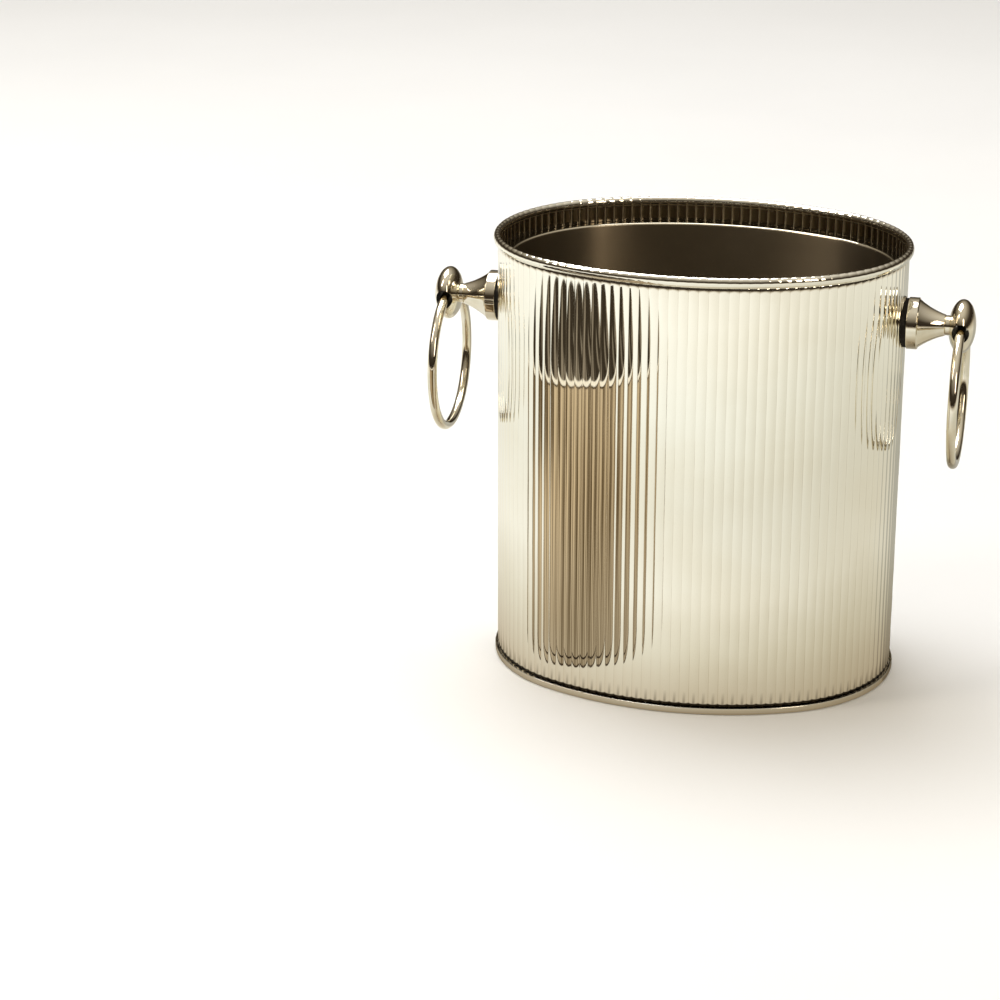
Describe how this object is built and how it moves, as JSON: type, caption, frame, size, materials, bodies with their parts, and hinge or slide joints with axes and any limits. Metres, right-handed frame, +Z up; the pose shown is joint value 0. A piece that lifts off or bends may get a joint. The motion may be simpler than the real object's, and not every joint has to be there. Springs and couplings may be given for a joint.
{
  "type": "champagne bucket",
  "caption": "Oval double-walled champagne bucket with fluted polished walls, a rolled rim, a smooth brushed liner and drop-ring handles on ball-ended posts.",
  "frame": {"origin": "on the resting surface, under the middle of the oval", "axes": "+Z up, +X along the oval's long axis through both handles, +Y along its short axis"},
  "size_m": [0.3272, 0.1934, 0.268],
  "materials": {
    "polished_nickel": "mirror polish, warm nickel tint",
    "brushed_liner": "fine brushing round the wall",
    "steel_wire": "drawn bright",
    "zinc_screw": "zinc plated",
    "rubber": "matte black",
    "sealant": "cured grey sealant"
  },
  "bodies": {
    "bucket": {"outer_shell": "polished_nickel", "rim_wire": "steel_wire", "base_pan": "polished_nickel", "liner_wall": "brushed_liner", "liner_floor": "brushed_liner", "flange_seal": "sealant", "left_gasket": "rubber", "left_handle_post": "polished_nickel", "left_ball_knob": "polished_nickel", "left_backing_plate": "brushed_liner", "left_spring_washer": "steel_wire", "left_handle_screw": "zinc_screw", "right_gasket": "rubber", "right_handle_post": "polished_nickel", "right_ball_knob": "polished_nickel", "right_backing_plate": "brushed_liner", "right_spring_washer": "steel_wire", "right_handle_screw": "zinc_screw"},
    "left_ring": {"left_ring": "polished_nickel"},
    "right_ring": {"right_ring": "polished_nickel"}
  },
  "joints": [
    {"name": "left_ring_swing", "type": "hinge", "parent": "bucket", "child": "left_ring", "pos_m": [-0.1556, 0, 0.2216], "axis": [0, 1, 0], "range_deg": [-21, 217]},
    {"name": "right_ring_swing", "type": "hinge", "parent": "bucket", "child": "right_ring", "pos_m": [0.1556, 0, 0.2216], "axis": [0, -1, 0], "range_deg": [-21, 217]}
  ]
}
